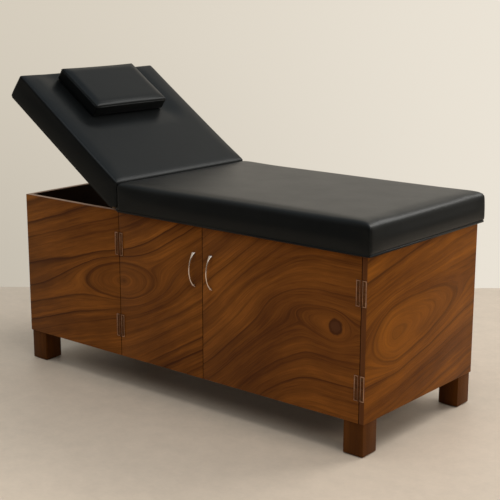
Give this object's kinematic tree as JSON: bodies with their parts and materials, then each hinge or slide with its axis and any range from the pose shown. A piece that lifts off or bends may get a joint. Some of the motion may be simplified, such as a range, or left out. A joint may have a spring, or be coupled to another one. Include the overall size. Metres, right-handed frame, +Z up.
{
  "type": "medical exam table",
  "caption": "Wooden cabinet exam table with a padded seat, a padded backrest that tilts on hinges over an open storage well, a loose pillow and hinged storage doors.",
  "frame": {"origin": "on the floor, under the middle of the table's length and on the cabinet's middle plane", "axes": "+X from the head end to the foot end, +Y from the doors to the rear, +Z up"},
  "size_m": [1.7257, 0.754, 1.185],
  "materials": {
    "walnut_front": "satin swirled walnut veneer",
    "walnut_end": "satin swirled walnut veneer",
    "walnut_inner": "matt walnut veneer",
    "leg_wood": "satin dark stained wood",
    "plywood": "sanded plywood",
    "vinyl": "satin black vinyl over foam",
    "nickel": "satin nickel",
    "antique_metal": "antique bronzed",
    "zinc": "zinc plated",
    "black_steel": "black powder coat",
    "rubber": "matt",
    "nylon": "matt"
  },
  "bodies": {
    "cabinet": {"front_fixed_panel": "walnut_front", "head_end_panel": "walnut_end", "foot_end_panel": "walnut_end", "rear_panel": "walnut_front", "bottom_panel": "walnut_inner", "well_divider": "walnut_inner", "centre_partition": "walnut_inner", "front_top_rail": "walnut_inner", "rear_top_rail": "walnut_inner", "left_shelf": "walnut_inner", "right_shelf": "walnut_inner", "front_head_leg": "leg_wood", "front_foot_leg": "leg_wood", "rear_head_leg": "leg_wood", "rear_foot_leg": "leg_wood", "front_head_glide": "nylon", "front_foot_glide": "nylon", "rear_head_glide": "nylon", "rear_foot_glide": "nylon", "seat_base_board": "plywood", "seat_cushion": "vinyl", "left_door_lower_hinge_frame_leaf": "antique_metal", "left_door_lower_hinge_pin": "antique_metal", "left_door_upper_hinge_frame_leaf": "antique_metal", "left_door_upper_hinge_pin": "antique_metal", "right_door_lower_hinge_frame_leaf": "antique_metal", "right_door_lower_hinge_pin": "antique_metal", "right_door_upper_hinge_frame_leaf": "antique_metal", "right_door_upper_hinge_pin": "antique_metal", "left_door_catch": "nylon", "right_door_catch": "nylon", "front_backrest_hinge_frame_leaf": "zinc", "front_backrest_hinge_pin": "zinc", "rear_backrest_hinge_frame_leaf": "zinc", "rear_backrest_hinge_pin": "zinc", "stay_clamp_bracket": "black_steel"},
    "left_door": {"left_door_panel": "walnut_front", "left_door_handle": "nickel", "left_handle_lower_screw": "zinc", "left_handle_upper_screw": "zinc", "left_door_lower_hinge_door_leaf": "antique_metal", "left_door_upper_hinge_door_leaf": "antique_metal", "left_door_strike": "zinc"},
    "right_door": {"right_door_panel": "walnut_front", "right_door_handle": "nickel", "right_handle_lower_screw": "zinc", "right_handle_upper_screw": "zinc", "right_door_lower_hinge_door_leaf": "antique_metal", "right_door_upper_hinge_door_leaf": "antique_metal", "right_door_strike": "zinc"},
    "backrest": {"backrest_base_board": "plywood", "backrest_cushion": "vinyl", "backrest_cushion_fold": "vinyl", "front_bumper": "rubber", "rear_bumper": "rubber", "front_backrest_hinge_back_leaf": "zinc", "rear_backrest_hinge_back_leaf": "zinc", "stay_quadrant": "black_steel"},
    "pillow": {"pillow": "vinyl"},
    "clamp_lever": {"stay_clamp_lever": "black_steel"}
  },
  "joints": [
    {"name": "backrest_tilt", "type": "hinge", "parent": "cabinet", "child": "backrest", "pos_m": [-0.309, 0, 0.696], "axis": [0, 1, 0], "range_deg": [-34.5, 20], "deforming": ["backrest_cushion_fold"]},
    {"name": "left_door_hinge", "type": "hinge", "parent": "cabinet", "child": "left_door", "pos_m": [-0.2845, -0.3565, 0.4], "axis": [0, 0, -1], "range_deg": [0, 165]},
    {"name": "right_door_hinge", "type": "hinge", "parent": "cabinet", "child": "right_door", "pos_m": [0.83, -0.3565, 0.4], "axis": [0, 0, 1], "range_deg": [0, 165]},
    {"name": "clamp_lever_turn", "type": "hinge", "parent": "cabinet", "child": "clamp_lever", "pos_m": [-0.44808, 0, 0.63981], "axis": [0, 1, 0], "range_deg": [0, 60]},
    {"name": "pillow_lift", "type": "slide", "parent": "backrest", "child": "pillow", "axis": [0.5664, 0, 0.8241], "range_m": [0, 0.3]}
  ]
}
